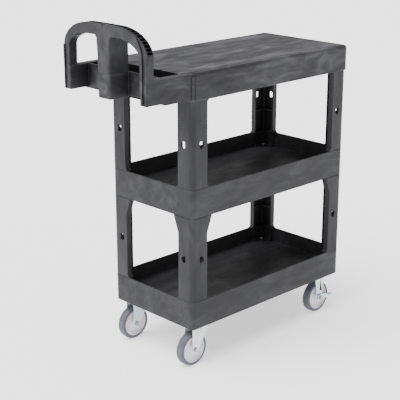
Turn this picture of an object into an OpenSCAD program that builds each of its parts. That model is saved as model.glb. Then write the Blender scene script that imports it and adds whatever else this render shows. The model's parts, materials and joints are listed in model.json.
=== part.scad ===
// Rolling utility cart: a flat top shelf with a bin and two hoop handles, over two open trays,
// on eight L-section legs, two swivel casters at the handle end and two braked rigid ones in front.
// X runs along the cart from the handle to the leading end, Y to its left, Z up, the floor is Z = 0.
// The origin is on the floor, at the middle of the whole cart.

/* [Trays] */
// Length of the trays, outside
tray_l = 820; // [700:5:1000]
// Width of the trays, outside
tray_w = 425; // [380:5:540]
// Height of a tray, from its lower edge to its rim
tray_h = 106; // [95:1:135]
// Depth of a tray's inside, from rim to floor
tray_depth = 60; // [45:1:70]
// Wall of the shelves
wall = 5; // [4:0.5:7]
// Thickness of the tray floors and of the flat top
floor_t = 5; // [4:0.5:8]
// Outside radius of the shelves' upright corners
corner_r = 20; // [16:1:30]
// Thickness of the ribs under the shelves
rib_t = 4; // [3:0.5:6]
// Depth of the ribs under the shelves
rib_h = 24; // [12:1:30]

/* [Top shelf] */
// Height of the top shelf
top_h = 95; // [80:1:120]
// How far the top shelf stands out past the legs on every side
overhang = 6; // [2:0.5:15]
// Round of the top shelf's upper edges
top_round = 12; // [6:1:14]
// Distance of the border groove from the edges of the flat top
groove_in = 23; // [18:1:40]
// Width of the border groove
groove_w = 2.5; // [1.5:0.5:5]
// Depth of the border groove
groove_d = 1; // [0.5:0.5:2]

/* [Bin and handles] */
// Reach of the handles past the legs
reach = 203; // [180:1:260]
// Inset of the bin's side walls from the top shelf's sides
side_in = 4; // [1:0.5:10]
// Width of the box beams beside the bin
beam_w = 30; // [22:1:45]
// Height of the beams' lower edge over the top shelf's lower edge
beam_up = 7; // [0:1:20]
// Height of the columns' lower end over the top shelf's lower edge
column_up = 13; // [0:1:30]
// Inside length of the bin
bin_l = 87; // [60:1:95]
// Depth of the bin
bin_depth = 70; // [40:1:72]
// How far the flat top runs past the legs towards the bin
lip = 31; // [20:1:45]
// Height of the handles over the top
handle_h = 162; // [120:1:220]
// Thickness of the handle bar across the hoop
bar_t = 38; // [28:1:46]
// Depth of the handle bar along the cart
bar_d = 34; // [26:1:42]
// Width of the centre column that both handles share
column_w = 65; // [50:1:90]
// Straight height of a hoop before its bend starts
hoop_rise = 72; // [40:1:90]
// Length of a hoop's bend across the cart
hoop_run = 150; // [90:1:150]
// Width of the flat ridge along the inner edge of an outer column's front
ridge_w = 13; // [6:1:14]
// Width of the channel beside that ridge
channel_w = 15; // [4:1:16]
// Depth of that channel
channel_d = 5; // [1:0.5:6]
// Number of finger notches under a hoop's top
notches = 12; // [4:1:14]
// Radius of a finger notch
notch_r = 2.5; // [1.5:0.5:4]
// Number of pockets round the outside of a hoop's bend
pockets = 11; // [4:1:16]
// Depth of the pockets
pocket_d = 12; // [4:1:16]

/* [Legs] */
// Clear height between two shelves
leg_h = 312; // [240:1:420]
// Width of a leg's flange
flange = 73; // [60:1:90]
// Wall of a leg
leg_wall = 5; // [4:0.5:7]
// Depth of the lips along a flange's free edge
lip_d = 22; // [16:1:30]
// Diameter of the round hole in each flange
leg_hole_d = 25; // [12:1:30]
// Distance of that hole from the leg's outer corner
leg_hole_in = 44; // [36:1:50]
// Width of the gussets at the top of the lower legs
gusset_w = 23; // [10:1:40]
// Height of the gussets at the top of the lower legs
gusset_h = 62; // [20:1:90]
// Size of the small corner flares at the other leg ends
flare = 9; // [4:1:15]
// Diameter of the bolts and screws that hold the legs
leg_bolt_d = 8; // [6:1:10]

/* [Casters] */
// Diameter of the wheels
wheel_d = 127; // [100:1:152]
// Width of the tyres
tyre_w = 32; // [25:1:38]
// Thickness of the tyres
tyre_t = 13; // [8:1:18]
// Height from the floor to the caster plates' top
caster_h = 165; // [150:1:200]
// How far the tray's skirt hangs below the caster plates' top
skirt_drop = 6; // [0:1:12]
// Distance of the swivel plates' centres from the trays' handle end
swivel_in = 66; // [60:1:110]
// Distance of the rigid plates' centres from the trays' leading end
rigid_in = 78; // [60:1:110]
// Distance of the wheels' middle planes from the trays' sides
caster_side = 50; // [46:1:80]
// Trail of the swivel casters
trail = 25; // [15:1:40]
// Length of a caster plate
plate_l = 95; // [85:1:120]
// Width of a caster plate
plate_w = 67; // [60:1:90]
// Thickness of a caster plate
plate_t = 3.5; // [2.5:0.5:5]
// Spacing of the plate screws along the cart
screw_x = 75; // [65:1:90]
// Spacing of the plate screws across the cart
screw_y = 45; // [40:1:60]
// Diameter of the axle bolts
axle_d = 9.5; // [8:0.5:12]
// Diameter of the swivel balls
ball_d = 6; // [5:0.5:8]
// Thickness of the fork sheet
fork_t = 3; // [2:0.5:4]
// Length of the brake levers, from the axle to the tip
lever_l = 63; // [50:1:80]

/* [Hidden] */
$fn = 64;

// Colours
FOAM = "#3e3e41";
ZINC = "#c9cfcd";
STEEL = "#9a9c9c";
TYRE = "#73767f";
HUB = "#d7d3da";

// Clearances: between mouldings, in a bolt's hole, and in a running fit
gap = 0.3;
bolt_gap = 0.2;
run_gap = 0.05;
eps = 1;

// Levels, from the floor up
bottom_z = caster_h - skirt_drop;
bottom_rim = bottom_z + tray_h;
middle_z = bottom_rim + leg_h;
middle_rim = middle_z + tray_h;
top_z = middle_rim + leg_h;
top_rim = top_z + top_h;
floor_up = tray_h - tray_depth;          // the floor's upper face over the tray's lower edge
under_up = floor_up - floor_t;           // its lower face

// Lengthwise places; the handle end of the trays is at x_handle
x_handle = -(tray_l + overhang - reach) / 2;
x_front = x_handle + tray_l;
x_tip = x_handle - reach;
x_lip = x_handle - lip;
x_bin = x_lip - bin_l;                   // inner face of the bin's end wall
x_bay = x_bin - wall;                    // its outer face
x_joint = x_lip + 2 * wall;              // where the bin and the beams meet the flat top
half_w = tray_w / 2;
top_half_w = half_w + overhang;
side_y = top_half_w - side_in;           // outer face of the beams and columns
beam_y = side_y - beam_w;                // their inner face, the bin's side
bin_floor = top_rim - bin_depth;

// Legs
tongue_in = wall + gap;                  // a tongue's outer face, from the tray's outer face
tongue_t = leg_wall;
web_t = 6;
bolt_in = tongue_in + 24;                // the leg bolt's place, from both outer faces
foot_pad = bolt_in + 13;
upper_tongue = under_up;                 // how far a leg's top reaches up inside the skirt
head_h = 5;
nut_h = 6.5;
foot_bite = 13;                          // how deep the lower legs' screws bite under the tray floor
pad_bite = 12;                           // how deep the caster screws bite into the bottom tray

// Casters, in their own frames: the plate's top is Z = 0
wheel_r = wheel_d / 2;
rim_r = wheel_r - tyre_t;
axle_z = wheel_r - caster_h;
hub_w = tyre_w + 6;
fork_in = hub_w / 2 + 0.6;               // inner face of a fork's leg
fork_out = fork_in + fork_t;
spacer_r = axle_d / 2 + 2.2;
crown_z = -(plate_t + ball_d + gap);     // top of the swivel fork's ball race
race_r = 27;
cup_r = race_r + ball_d / 2 + 2;
kingpin_r = 6;
screw_r = leg_bolt_d / 2 - 0.2;
pad_t = 8;
pad_margin = 6;
fork_end_r = 15;
cam_r = 14;
cam_t = 3;
lever_t = 3;

// ---------- shapes used by several pieces ----------

// A rounded rectangle from (x0, -w/2) to (x1, w/2), extruded from z0 to z1
module slab(x0, x1, w, z0, z1, r) {
    translate([0, 0, z0]) linear_extrude(z1 - z0) {
        translate([x0 + r, -w / 2]) square([x1 - x0 - 2 * r, w]);
        translate([x0, -w / 2 + r]) square([x1 - x0, w - 2 * r]);
        for (x = [x0 + r, x1 - r], y = [-w / 2 + r, w / 2 - r]) translate([x, y]) circle(r);
    }
}

module box(x0, x1, y0, y1, z0, z1) {
    translate([x0, y0, z0]) cube([x1 - x0, y1 - y0, z1 - z0]);
}

// Places a child drawn with its outer corner at the origin, opening to +X and +Y, at a tray's corner
module at_corner(end, side) {
    translate([end < 0 ? x_handle : x_front, side * half_w, 0])
        mirror([end < 0 ? 0 : 1, 0, 0]) mirror([0, side < 0 ? 0 : 1, 0]) children();
}

module at_all_corners() {
    for (end = [-1, 1], side = [-1, 1]) at_corner(end, side) children();
}

// Places a caster's parts; the right-hand one is as drawn, with its outer side towards -Y
module at_swivel(side) {
    translate([x_handle + swivel_in, side * (half_w - caster_side), caster_h])
        mirror([0, side < 0 ? 0 : 1, 0]) children();
}

module at_rigid(side) {
    translate([x_front - rigid_in, side * (half_w - caster_side), caster_h])
        mirror([0, side < 0 ? 0 : 1, 0]) children();
}

// A cylinder along Y from y0 to y1
module rod_y(r, y0, y1) {
    translate([0, y1, 0]) rotate([90, 0, 0]) cylinder(r = r, h = y1 - y0);
}

// A hexagon head or nut along Z, of width af across its flats
module hexagon(af, h) {
    cylinder(r = af / 2 / cos(30), h = h, $fn = 6);
}

// ---------- trays ----------

// Where the underside's lengthwise and crosswise ribs stand
cross_ribs = [for (i = [1:5]) x_handle + i * tray_l / 6];
long_ribs = [-tray_w / 6, tray_w / 6];

module tray(z0) {
    color(FOAM) difference() {
        union() {
            difference() {
                slab(x_handle, x_front, tray_w, z0, z0 + tray_h, corner_r);
                slab(x_handle + wall, x_front - wall, tray_w - 2 * wall,
                     z0 + floor_up, z0 + tray_h + eps, corner_r - wall);
                slab(x_handle + wall, x_front - wall, tray_w - 2 * wall,
                     z0 - eps, z0 + under_up, corner_r - wall);
            }
            for (x = cross_ribs)
                box(x - rib_t / 2, x + rib_t / 2, -half_w + wall / 2, half_w - wall / 2,
                    z0 + under_up - rib_h, z0 + under_up + floor_t / 2);
            for (y = long_ribs)
                box(x_handle + wall / 2, x_front - wall / 2, y - rib_t / 2, y + rib_t / 2,
                    z0 + under_up - rib_h, z0 + under_up + floor_t / 2);
            children();
        }
        at_all_corners() translate([bolt_in, bolt_in, z0 + under_up - eps])
            cylinder(r = leg_bolt_d / 2 + bolt_gap, h = floor_t + 2 * eps);
    }
}

module middle_shelf() {
    tray(middle_z);
}

// The caster pad under the bottom tray: a thick plate on bosses, for the plate's four screws
module caster_pad() {
    pad_l = plate_l + 2 * pad_margin;
    pad_w = plate_w + 2 * pad_margin;
    pad_top = bottom_z + under_up + floor_t / 2 - caster_h;
    translate([-pad_l / 2, -pad_w / 2, 0]) cube([pad_l, pad_w, pad_t]);
    for (x = [-1, 1], y = [-1, 1]) translate([x * screw_x / 2, y * screw_y / 2, 0])
        cylinder(r = 9, h = pad_top);
    for (y = [-1, 1]) translate([-pad_l / 2, y * screw_y / 2 - rib_t / 2, 0])
        cube([pad_l, rib_t, pad_top]);
    for (x = [-1, 1]) translate([x * screw_x / 2 - rib_t / 2, -pad_w / 2, 0])
        cube([rib_t, pad_w, pad_top]);
}

module bottom_shelf() {
    color(FOAM) difference() {
        tray(bottom_z) {
            for (side = [-1, 1]) {
                at_swivel(side) caster_pad();
                at_rigid(side) caster_pad();
            }
            at_all_corners() translate([bolt_in, bolt_in, caster_h])
                cylinder(r = 9, h = bottom_z + under_up + floor_t / 2 - caster_h);
        }
        at_all_corners() translate([bolt_in, bolt_in, bottom_z + floor_up - floor_t - foot_bite - 2])
            cylinder(r = leg_bolt_d / 2 + bolt_gap, h = foot_bite + 2 + floor_t + eps);
        for (side = [-1, 1]) {
            at_swivel(side) plate_holes(screw_r + run_gap, -eps, pad_bite + 2);
            at_rigid(side) plate_holes(screw_r + run_gap, -eps, pad_bite + 2);
        }
    }
}

module plate_holes(r, z0, z1) {
    for (x = [-1, 1], y = [-1, 1]) translate([x * screw_x / 2, y * screw_y / 2, z0])
        cylinder(r = r, h = z1 - z0);
}

// ---------- top shelf ----------

// A slab with rounded upper edges: rods along the edges and a ring at each corner
module crowned_slab(x0, x1, w, z0, z1, r, e) {
    slab(x0, x1, w, z0, z1 - e, r);
    slab(x0 + e, x1 - e, w - 2 * e, z1 - e - eps, z1, r - e);
    for (y = [-1, 1]) translate([x0 + r, y * (w / 2 - e), z1 - e])
        rotate([0, 90, 0]) cylinder(r = e, h = x1 - x0 - 2 * r);
    for (x = [x0 + e, x1 - e]) translate([x, 0, z1 - e])
        rod_y(e, -w / 2 + r, w / 2 - r);
    for (x = [x0 + r, x1 - r], y = [-1, 1]) translate([x, y * (w / 2 - r), z1 - e])
        rotate_extrude() intersection() {
            translate([r - e, 0]) circle(e);
            translate([0, -e]) square([r + eps, 2 * e]);
        }
}

module top_hollow() {
    slab(x_handle - overhang + wall, x_front + overhang - wall, 2 * (top_half_w - wall),
         top_z - eps, top_rim - floor_t - groove_d, corner_r + overhang - wall);
}

// A tight corner where a beam meets the shelf's side, with a groove that sets it off
module corner_post() {
    x0 = x_handle - overhang;
    r = 4;
    translate([0, 0, top_z]) linear_extrude(top_h - top_round + 2) difference() {
        union() {
            translate([x0 + r, side_y - beam_w / 2]) square([corner_r, beam_w / 2 + side_in]);
            translate([x0, side_y - beam_w / 2]) square([corner_r, beam_w / 2 + side_in - r]);
            translate([x0 + r, top_half_w - r]) circle(r);
        }
        translate([x0 + 13, top_half_w - 1.5]) square([2.5, 1.5 + eps]);
        translate([x0 + corner_r + overhang, top_half_w - corner_r - overhang])
            circle(corner_r + overhang - wall);
    }
}

// The border groove in the flat top
module border_groove() {
    difference() {
        box(x_lip + groove_in / 2, x_front + overhang - groove_in,
            -top_half_w + groove_in, top_half_w - groove_in, top_rim - groove_d, top_rim + eps);
        box(x_lip + groove_in / 2 + groove_w, x_front + overhang - groove_in - groove_w,
            -top_half_w + groove_in + groove_w, top_half_w - groove_in - groove_w,
            top_rim - groove_d - eps, top_rim + 2 * eps);
    }
}

// A beam's box section from x0 to x1, hollow from below between h0 and h1
module beam_box(x0, x1, h0, h1) {
    difference() {
        box(x0, x1, beam_y, side_y, top_z + beam_up, top_rim);
        box(h0, h1, beam_y + wall, side_y - wall, top_z, top_rim - floor_t);
    }
}

// A box beam beside the bin; it ends in the outer column, which is hollow from below too
module beam(side) {
    color(FOAM) mirror([0, side < 0 ? 1 : 0, 0]) {
        beam_box(x_bay, x_joint, x_bay + wall, x_joint + eps);
        difference() {
            box(x_tip, x_bay, side_y - bar_d, side_y, top_z + column_up, top_rim);
            box(x_tip + channel_d + wall, x_bay - wall / 2, side_y - bar_d + wall, side_y - wall,
                top_z, top_rim - floor_t);
            translate([x_tip + bar_d / 2, side_y - bar_d / 2, top_rim - floor_t - eps])
                cylinder(r = screw_r + bolt_gap, h = floor_t + 2 * eps);
            box(x_tip - eps, x_tip + channel_d, side_y - channel_in - channel_w, side_y - channel_in,
                top_z, top_rim + eps);
        }
    }
}

// The base of the centre column, hollow from below
module column_base() {
    color(FOAM) difference() {
        box(x_tip, x_bay, -column_w / 2, column_w / 2, top_z + column_up - 4, top_rim);
        box(x_tip + wall, x_bay - wall / 2, -column_w / 2 + wall, column_w / 2 - wall,
            top_z, top_rim - floor_t);
        for (y = [-1, 1]) translate([x_tip + 22, y * column_w / 4, top_rim - floor_t - eps])
            cylinder(r = screw_r + bolt_gap, h = floor_t + 2 * eps);
    }
}

// The bin's end wall, its floor, the wall under the flat top's lip, and the lip
module bin() {
    color(FOAM) {
        box(x_bay, x_bin, -beam_y, beam_y, top_z + beam_up, top_rim);
        box(x_bay, x_lip + wall, -beam_y, beam_y, bin_floor - floor_t, bin_floor);
        box(x_lip, x_lip + wall, -beam_y, beam_y, bin_floor - floor_t, top_rim);
        box(x_lip, x_joint, -beam_y, beam_y, top_rim - floor_t - groove_d, top_rim);
    }
}

module top_shelf() {
    boss_z = top_z + under_up;
    color(FOAM) difference() {
        union() {
            difference() {
                crowned_slab(x_handle - overhang, x_front + overhang, 2 * top_half_w,
                             top_z, top_rim, corner_r + overhang, top_round);
                top_hollow();
            }
            intersection() {
                top_hollow();
                union() {
                    for (x = cross_ribs)
                        box(x - rib_t / 2, x + rib_t / 2, -top_half_w, top_half_w,
                            top_rim - floor_t - rib_h, top_rim);
                    for (y = long_ribs)
                        box(x_handle - overhang, x_front + overhang, y - rib_t / 2, y + rib_t / 2,
                            top_rim - floor_t - rib_h, top_rim);
                }
            }
            at_all_corners() translate([bolt_in, bolt_in, boss_z])
                cylinder(r = 11, h = top_rim - floor_t - boss_z);
            for (side = [0, 1]) mirror([0, side, 0]) {
                beam_box(x_joint, x_handle, x_joint - eps, x_handle - overhang);
                corner_post();
            }
            box(x_joint, x_handle, -beam_y - eps, beam_y + eps, top_rim - floor_t - groove_d, top_rim);
        }
        at_all_corners() translate([bolt_in, bolt_in, boss_z - eps])
            cylinder(r = leg_bolt_d / 2 + bolt_gap, h = 26);
        border_groove();
    }
}

// ---------- legs ----------

// Section of a wall of thickness t whose outer faces are at x = o and y = o
module l_wall(o, t, f) {
    difference() {
        union() {
            translate([o, o]) square([f - o, t]);
            translate([o, o]) square([t, f - o]);
            difference() {
                translate([o, o]) square(corner_r - o);
                translate([corner_r, corner_r]) circle(corner_r - o - t);
            }
        }
        corner_cut(o);
    }
}

// What the round of the outer corner takes away
module corner_cut(o) {
    difference() {
        translate([o - eps, o - eps]) square(corner_r - o + eps);
        translate([corner_r, corner_r]) circle(corner_r - o);
    }
}

// Section of the whole L, as deep as the lips
module l_region(o, f) {
    difference() {
        union() {
            translate([o, o]) square([f - o, lip_d - o]);
            translate([o, o]) square([lip_d - o, f - o]);
        }
        corner_cut(o);
    }
}

// Outline of one flange, seen square on, from x = x0 to n inside its free edge
function flange_outline(x0, n, gw, gh) = [
    [x0, 0], [flange + flare - n, 0], [flange - n, flare], [flange - n, leg_h - gh],
    [flange + gw - n, leg_h], [x0, leg_h]
];

// A plate with the given outline in X and Z, from y0 to y1
module upright(points, y0, y1) {
    translate([0, y1, 0]) rotate([90, 0, 0]) linear_extrude(y1 - y0) polygon(points);
}

// One flange: a wall with a lip along its free edge, and a round hole at mid-height
module flange_shell(gw, gh) {
    difference() {
        upright(flange_outline(0, 0, gw, gh), 0, lip_d);
        upright(flange_outline(leg_wall, leg_wall, gw, gh), leg_wall, lip_d + eps);
        translate([leg_hole_in, 0, leg_h / 2]) rod_y(leg_hole_d / 2, -eps, leg_wall + eps);
    }
}

// A leg with its outer corner at the origin; it stands on the tray's rim, with a tongue
// that reaches down inside the tray to its floor, and another up inside the skirt above
module leg(gw, gh) {
    web_z = [web_t / 2, leg_h * 0.3, leg_h * 0.69, leg_h - web_t / 2];
    ends = [-tray_depth, leg_h + upper_tongue - web_t];
    color(FOAM) difference() {
        union() {
            difference() {
                union() {
                    flange_shell(gw, gh);
                    mirror([1, -1, 0]) flange_shell(gw, gh);
                }
                translate([0, 0, -eps]) linear_extrude(leg_h + 2 * eps) corner_cut(0);
            }
            linear_extrude(leg_h) l_wall(0, leg_wall, flange / 2);
            for (z = web_z) translate([0, 0, z - web_t / 2]) linear_extrude(web_t) l_region(0, flange);
            translate([leg_wall, leg_wall, 0]) rotate([0, 0, 45])
                translate([2, -rib_t / 2, 0]) cube([lip_d, rib_t, leg_h]);
            translate([0, 0, -tray_depth]) linear_extrude(tray_depth + web_t)
                l_wall(tongue_in, tongue_t, flange - leg_wall);
            translate([0, 0, leg_h - web_t]) linear_extrude(upper_tongue + web_t)
                l_wall(tongue_in, tongue_t, flange - leg_wall);
            for (z = ends) translate([0, 0, z]) linear_extrude(web_t) {
                l_region(tongue_in, flange - leg_wall);
                difference() {
                    translate([tongue_in, tongue_in]) square(foot_pad - tongue_in);
                    corner_cut(tongue_in);
                }
            }
        }
        for (z = ends) translate([bolt_in, bolt_in, z - eps])
            cylinder(r = leg_bolt_d / 2 + bolt_gap, h = web_t + 2 * eps);
    }
}

module upper_leg(end, side) {
    translate([0, 0, middle_rim]) at_corner(end, side) leg(flare, flare);
}

module lower_leg(end, side) {
    translate([0, 0, bottom_rim]) at_corner(end, side) leg(gusset_w, gusset_h);
}

// A screw along Z: its head rests at z, and its shank runs on from there to z + l
module leg_screw(z, l) {
    up = l > 0 ? 1 : -1;
    color(STEEL) translate([bolt_in, bolt_in, z]) mirror([0, 0, up > 0 ? 0 : 1]) {
        cylinder(r = leg_bolt_d / 2, h = abs(l));
        translate([0, 0, -head_h]) hexagon(13, head_h);
    }
}

module leg_screws_top() {
    at_all_corners() leg_screw(top_z + upper_tongue - web_t, web_t + 22);
}

module leg_bolts_middle() {
    at_all_corners() leg_screw(middle_z + floor_up + web_t, -(2 * web_t + floor_t + nut_h + 2));
}

module leg_nuts_middle() {
    z = middle_z + under_up - web_t - nut_h;
    color(STEEL) at_all_corners() translate([bolt_in, bolt_in, z]) difference() {
        hexagon(13, nut_h);
        translate([0, 0, -eps]) cylinder(r = leg_bolt_d / 2 + run_gap, h = nut_h + 2 * eps);
    }
}

module leg_screws_bottom() {
    at_all_corners() leg_screw(bottom_z + floor_up + web_t, -(web_t + floor_t + foot_bite));
}

// ---------- handles ----------

// Outline of a hoop across the cart: u from the column's outer face to the cart's middle, v up;
// the two hoops leave a shallow V between them at the top
hoop_in = side_y;
v_half = 9;
v_deep = 9;
function bend(r_u, r_v, n = 16) = [
    for (i = [0:n]) let (a = 90 * i / n) [hoop_run - r_u * cos(a), hoop_rise + r_v * sin(a)]
];
function hoop_outer() = concat(
    [[0, 0]], bend(hoop_run, handle_h - hoop_rise),
    [[hoop_in - v_half, handle_h], [hoop_in, handle_h - v_deep], [hoop_in, 0]]
);
function hoop_inner() = concat(
    [[bar_d, -eps]], bend(hoop_run - bar_d, handle_h - bar_t - hoop_rise),
    [[hoop_in - column_w / 2 - 8, handle_h - bar_t], [hoop_in - column_w / 2, handle_h - bar_t - 8],
     [hoop_in - column_w / 2, -eps]]
);

// The point at angle a of the bend, d inside its outer face
function on_bend(d, a) = [
    hoop_run - (hoop_run - d) * cos(a), hoop_rise + (handle_h - hoop_rise - d) * sin(a)
];
function backwards(points) = [for (i = [len(points) - 1:-1:0]) points[i]];

// The channel in a column's front runs up into the hoop, and out through its outer face
channel_in = bar_d - ridge_w - channel_w;
function channel_outline() = concat(
    [[channel_in, -eps], [channel_in, hoop_rise]],
    [for (a = [0:10:50]) on_bend(-eps, a)],
    [for (t = [0.9:-0.1:0.01]) on_bend((channel_in + channel_w) * (1 - t * t), 50 * t)],
    [[channel_in + channel_w, hoop_rise], [channel_in + channel_w, -eps]]
);

// Pockets round the outside of a hoop, with ribs between them; Z runs from the hoop's front to its back
module hoop_pockets() {
    first = 8;
    step = (90 - first) / pockets;
    rib = 1.4;
    row_end = hoop_in - v_half - wall;
    flat_step = (row_end - hoop_run) / 3;
    translate([0, 0, channel_d + 4]) linear_extrude(bar_d - channel_d - 8) {
        for (i = [0:pockets - 1]) let (a0 = first + i * step, a1 = a0 + step - rib)
            polygon(concat(
                [for (k = [0:4]) on_bend(-eps, a0 + (a1 - a0) * k / 4)],
                backwards([for (k = [0:4]) on_bend(pocket_d, a0 + (a1 - a0) * k / 4)])));
        for (i = [0:2]) translate([hoop_run + i * flat_step, handle_h - pocket_d])
            square([flat_step - 3, pocket_d + eps]);
    }
}

// Finger notches across the underside of the hoop's top, 4 degrees apart along its bend
module finger_notches() {
    r_u = hoop_run - bar_d;
    r_v = handle_h - bar_t - hoop_rise;
    for (i = [0:notches - 1]) let (a = 90 - 4 * i)
        translate([x_tip - eps, side_y - hoop_run + r_u * cos(a), top_rim + hoop_rise + r_v * sin(a)])
            rotate([0, 90, 0]) cylinder(r = notch_r, h = bar_d - wall + eps, $fn = 24);
}

// The left handle: a hoop, and its half of the centre column behind the hoop's inner leg
module hoop() {
    column_back = x_bay + wall / 2;
    color(FOAM) difference() {
        union() {
            translate([x_tip, side_y, top_rim]) mirror([0, 1, 0]) rotate([90, 0, 90])
                difference() {
                    linear_extrude(bar_d) difference() {
                        polygon(hoop_outer());
                        polygon(hoop_inner());
                    }
                    translate([0, 0, -eps]) linear_extrude(channel_d + eps) polygon(channel_outline());
                    hoop_pockets();
                }
            translate([0, 0, top_rim]) upright([
                [x_tip + wall, 0], [x_tip + wall, handle_h - bar_t], [x_tip + bar_d, handle_h],
                [column_back, handle_h - 50], [column_back, 0]
            ], gap / 2, column_w / 2);
        }
        // hollow of the column, open below, and the blind holes of the screws
        box(x_tip + bar_d, column_back - wall, wall, column_w / 2 - wall, top_rim - eps, top_rim + 90);
        box(x_tip, x_tip + bar_d + eps, -eps, gap / 2, top_rim - eps, top_rim + handle_h + eps);
        for (p = handle_screw_places()) translate([p[0], p[1], top_rim - eps])
            cylinder(r = screw_r + run_gap, h = 22);
        finger_notches();
    }
}

function handle_screw_places() = [
    [x_tip + bar_d / 2, side_y - bar_d / 2], [x_tip + 22, column_w / 4]
];

module handle_left() {
    hoop();
}

module handle_right() {
    mirror([0, 1, 0]) hoop();
}

module handle_screws() {
    color(STEEL) for (side = [0, 1]) mirror([0, side, 0]) for (p = handle_screw_places())
        translate([p[0], p[1], top_rim - floor_t]) {
            cylinder(r = screw_r, h = floor_t + 18);
            translate([0, 0, -3.5]) cylinder(r = 7, h = 3.5);
        }
}

// ---------- casters ----------

module caster_screws() {
    color(STEEL) for (side = [-1, 1]) {
        at_swivel(side) plate_screws();
        at_rigid(side) plate_screws();
    }
}

module plate_screws() {
    plate_holes(screw_r, -plate_t, pad_bite);
    for (x = [-1, 1], y = [-1, 1])
        translate([x * screw_x / 2, y * screw_y / 2, -plate_t - head_h]) hexagon(11, head_h);
}

module swivel_plate() {
    color(ZINC) difference() {
        union() {
            slab(-plate_l / 2, plate_l / 2, plate_w, -plate_t, 0, 6);
            translate([0, 0, crown_z - 1.2]) difference() {
                cylinder(r = cup_r + 2, h = -crown_z + 1.2 - plate_t / 2);
                translate([0, 0, -eps]) cylinder(r = cup_r, h = -crown_z + 1.2 - plate_t + eps);
            }
        }
        plate_holes(screw_r + bolt_gap, -plate_t - eps, eps);
        translate([0, 0, -plate_t - eps]) cylinder(r = kingpin_r + run_gap, h = plate_t + 2 * eps);
    }
}

// The kingpin: riveted into the plate, with a head under the fork's crown
module kingpin() {
    color(STEEL) {
        translate([0, 0, crown_z - 5.4]) cylinder(r = kingpin_r, h = 5.4 - crown_z);
        translate([0, 0, crown_z - 5.4 - gap - 5]) cylinder(r = kingpin_r + 6, h = 5);
        translate([0, 0, crown_z - 5.4 - gap - eps]) cylinder(r = kingpin_r, h = gap + 2 * eps);
    }
}

module swivel_balls() {
    color(STEEL) for (i = [0:13]) rotate([0, 0, i * 360 / 14])
        translate([race_r, 0, -plate_t - ball_d / 2]) sphere(d = ball_d, $fn = 24);
}

// Where a line from point p touches a circle round c, on the side that s gives (1 or -1)
function touch(p, c, r, s) =
    let (v = p - c, d = norm(v), a = atan2(v[1], v[0]) + s * acos(r / d)) c + r * [cos(a), sin(a)];

// A fork's leg: a plate in X and Z from the crown down to a round end at the axle
module fork_leg(half_top, axle_x, leg_top, end_r) {
    c = [axle_x, axle_z];
    shoulder = leg_top - 18;
    upright([
        [-half_top, leg_top], [half_top, leg_top], [half_top, shoulder],
        touch([half_top, shoulder], c, end_r, -1), c, touch([-half_top, shoulder], c, end_r, 1),
        [-half_top, shoulder]
    ], -fork_out, -fork_in);
    translate([axle_x, 0, axle_z]) rod_y(end_r, -fork_out, -fork_in);
}

module both_legs(half_top, axle_x, leg_top, end_r) {
    difference() {
        for (side = [0, 1]) mirror([0, side, 0]) fork_leg(half_top, axle_x, leg_top, end_r);
        translate([axle_x, 0, axle_z]) rod_y(axle_d / 2 + run_gap, -fork_out - eps, fork_out + eps);
    }
}

module swivel_fork() {
    crown_half = 38;
    crown_top = crown_z - 2.4;
    color(ZINC) {
        both_legs(crown_half, -trail, crown_top, fork_end_r);
        difference() {
            union() {
                slab(-crown_half, crown_half, 2 * fork_out, crown_top - fork_t, crown_top, 3);
                translate([0, 0, crown_top - eps]) cylinder(r = cup_r - 0.6, h = crown_z - crown_top + eps);
            }
            translate([0, 0, crown_top - fork_t - eps])
                cylinder(r = kingpin_r + run_gap, h = fork_t + crown_z - crown_top + 3 * eps);
        }
    }
}

module rigid_fork() {
    half_top = 25;
    color(ZINC) difference() {
        union() {
            both_legs(half_top, 0, -plate_t / 2, fork_end_r + 3);
            slab(-plate_l / 2, plate_l / 2, plate_w, -plate_t, 0, 6);
        }
        plate_holes(screw_r + bolt_gap, -plate_t - eps, eps);
    }
}

// The wheel's parts are turned about the axle, and moved to it by at_axle
module at_axle(axle_x) {
    translate([axle_x, 0, axle_z]) rotate([90, 0, 0]) children();
}

module hub() {
    color(HUB) rotate_extrude($fn = 96) polygon([
        [spacer_r + run_gap, -hub_w / 2], [cam_r, -hub_w / 2], [cam_r + 1.5, -hub_w / 2 + 4],
        [cam_r + 4, -7], [rim_r - 9, -9], [rim_r - 5, -tyre_w / 2 + 1], [rim_r, -tyre_w / 2 + 1],
        [rim_r, tyre_w / 2 - 1], [rim_r - 5, tyre_w / 2 - 1], [rim_r - 9, 9], [cam_r + 4, 7],
        [cam_r + 1.5, hub_w / 2 - 4], [cam_r, hub_w / 2], [spacer_r + run_gap, hub_w / 2]
    ]);
}

module tyre() {
    shoulder = 5;
    color(TYRE) rotate_extrude($fn = 96) {
        translate([rim_r, -tyre_w / 2]) square([tyre_t - shoulder, tyre_w]);
        translate([rim_r, -tyre_w / 2 + shoulder]) square([tyre_t, tyre_w - 2 * shoulder]);
        for (y = [-1, 1]) translate([wheel_r - shoulder, y * (tyre_w / 2 - shoulder)])
            circle(shoulder, $fn = 24);
    }
}

module spacer() {
    color(STEEL) difference() {
        cylinder(r = spacer_r, h = 2 * fork_in, center = true);
        cylinder(r = axle_d / 2 + run_gap, h = 2 * fork_in + 2 * eps, center = true);
    }
}

// The axle bolt's head is on the outer side, over whatever stands between it and the fork
module axle_bolt(extra) {
    color(STEEL) {
        translate([0, 0, -fork_out - 7]) cylinder(r = axle_d / 2, h = 2 * fork_out + 8 + extra);
        translate([0, 0, fork_out + extra]) hexagon(16, head_h + 1);
    }
}

module axle_nut() {
    color(STEEL) translate([0, 0, -fork_out - nut_h]) difference() {
        hexagon(16, nut_h);
        translate([0, 0, -eps]) cylinder(r = axle_d / 2 + run_gap, h = nut_h + 2 * eps);
    }
}

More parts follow.
